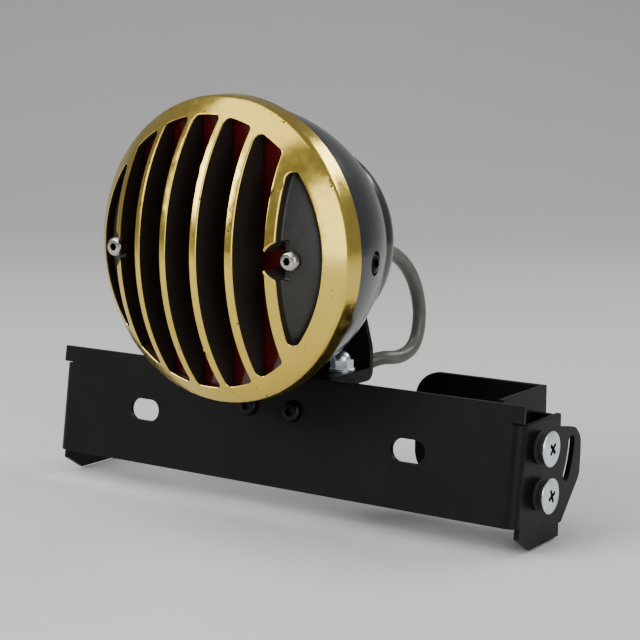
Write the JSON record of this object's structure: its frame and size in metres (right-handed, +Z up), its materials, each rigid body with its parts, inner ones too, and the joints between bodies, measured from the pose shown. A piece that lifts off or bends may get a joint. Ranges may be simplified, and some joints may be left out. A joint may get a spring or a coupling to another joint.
{
  "type": "tail light",
  "caption": "Round tail light behind a finned brass grille, on a number-plate bar with an adjustable side arm.",
  "frame": {"origin": "middle of the side arm's foot, between its two bolt holes, on the rear face that bolts to the machine", "axes": "+X along the number-plate bar, +Y away from the lamp's lens towards the machine, +Z up"},
  "size_m": [0.2582, 0.1551, 0.187],
  "materials": {
    "polished_brass": "cast brass, faces polished, small pits",
    "red_lens": "moulded transparent red lens",
    "black_rubber": "moulded rubber",
    "gloss_black": "gloss black powder coat",
    "bright_reflector": "bright metallised bowl",
    "bracket_black": "satin black powder coat",
    "zinc_steel": "zinc-plated steel",
    "stainless_steel": "stainless steel",
    "black_steel": "black-oxide screws",
    "nickel_brass": "nickelled brass cap",
    "bulb_glass": "clear bulb glass",
    "spring_steel": "spring wire",
    "phenolic": "pressed insulating board",
    "cable_sleeve": "extruded vinyl sleeve over the leads",
    "connector_plastic": "moulded nylon plug",
    "wire_insulation": "insulated wire"
  },
  "bodies": {
    "arm": {"side_arm": "bracket_black"},
    "lamp_and_bar": {"grille": "polished_brass", "grille_screws": "stainless_steel", "lens": "red_lens", "lens_gasket": "black_rubber", "reflector": "bright_reflector", "housing": "gloss_black", "side_screws": "black_steel", "rear_cover": "gloss_black", "lamp_screws": "black_steel", "bulb_base": "nickel_brass", "bulb_glass": "bulb_glass", "bulb_socket": "zinc_steel", "contact_spring": "spring_steel", "lead_wires": "wire_insulation", "cable": "cable_sleeve", "cable_grommet": "black_rubber", "connector": "connector_plastic", "cable_clip": "black_rubber", "clip_screw": "black_steel", "lamp_bracket": "bracket_black", "shelf_bracket": "bracket_black", "shelf_bolts": "zinc_steel", "shelf_washers": "zinc_steel", "dome_nuts": "zinc_steel", "bar_screws": "black_steel", "bar_nuts": "zinc_steel", "plate_bar": "bracket_black", "ear_screws": "zinc_steel", "ear_spacers": "black_rubber", "ear_washers": "zinc_steel", "ear_nuts": "zinc_steel"},
    "contact": {"contact_plate": "phenolic"}
  },
  "joints": [
    {"name": "bar_angle", "type": "hinge", "parent": "arm", "child": "lamp_and_bar", "pos_m": [0.04, -0.0313, 0.005], "axis": [1, 0, 0], "range_deg": [-5, 5]},
    {"name": "contact_press", "type": "slide", "parent": "lamp_and_bar", "child": "contact", "axis": [0, 1, 0], "range_m": [0, 0.0025], "stiffness_N_per_m": 800, "springref_m": -0.003, "deforming": ["contact_spring"]}
  ]
}
